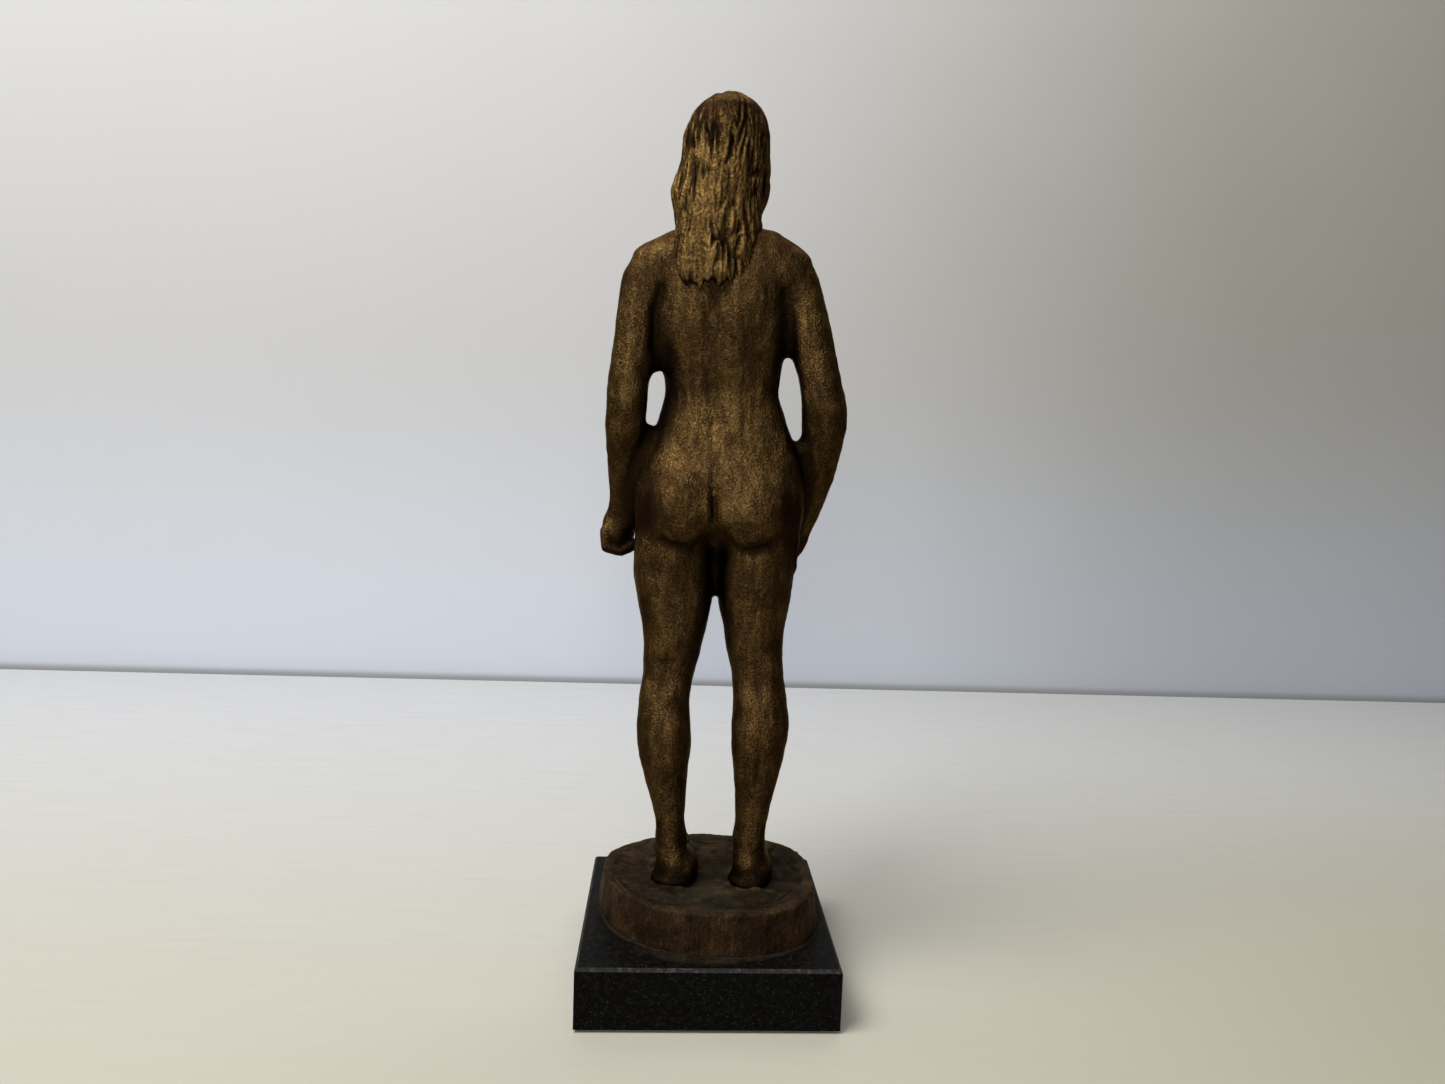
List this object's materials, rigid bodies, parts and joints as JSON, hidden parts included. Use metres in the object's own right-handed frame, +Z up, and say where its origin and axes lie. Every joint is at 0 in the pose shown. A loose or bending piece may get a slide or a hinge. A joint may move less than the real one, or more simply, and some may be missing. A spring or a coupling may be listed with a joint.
{
  "type": "bronze statuette",
  "caption": "Standing nude woman with long hair, a hollow bronze figure tenoned into an oval bronze plinth and bolted to a square polished stone block.",
  "frame": {"origin": "centre of the underside, where the felt rests on the table", "axes": "+Z up through the figure, the figure faces -Y, its left side is +X"},
  "size_m": [0.08, 0.08, 0.2845],
  "materials": {
    "figure_bronze": "brown patina rubbed to gold on the high places",
    "plinth_bronze": "dark chocolate patina, matt",
    "bedding": "dry, dusty",
    "granite": "polished, fine grained",
    "felt": "pressed felt",
    "zinc_steel": "zinc plated"
  },
  "bodies": {
    "root": {"figure_casting": "figure_bronze", "core_pin_plugs": "figure_bronze", "plinth_casting": "plinth_bronze", "bedding_compound": "bedding", "granite_base": "granite", "felt_sheet": "felt", "stud_left": "zinc_steel", "stud_right": "zinc_steel", "flat_washer_left": "zinc_steel", "flat_washer_right": "zinc_steel", "spring_washer_left": "zinc_steel", "spring_washer_right": "zinc_steel", "nut_left": "zinc_steel", "nut_right": "zinc_steel"}
  },
  "joints": []
}
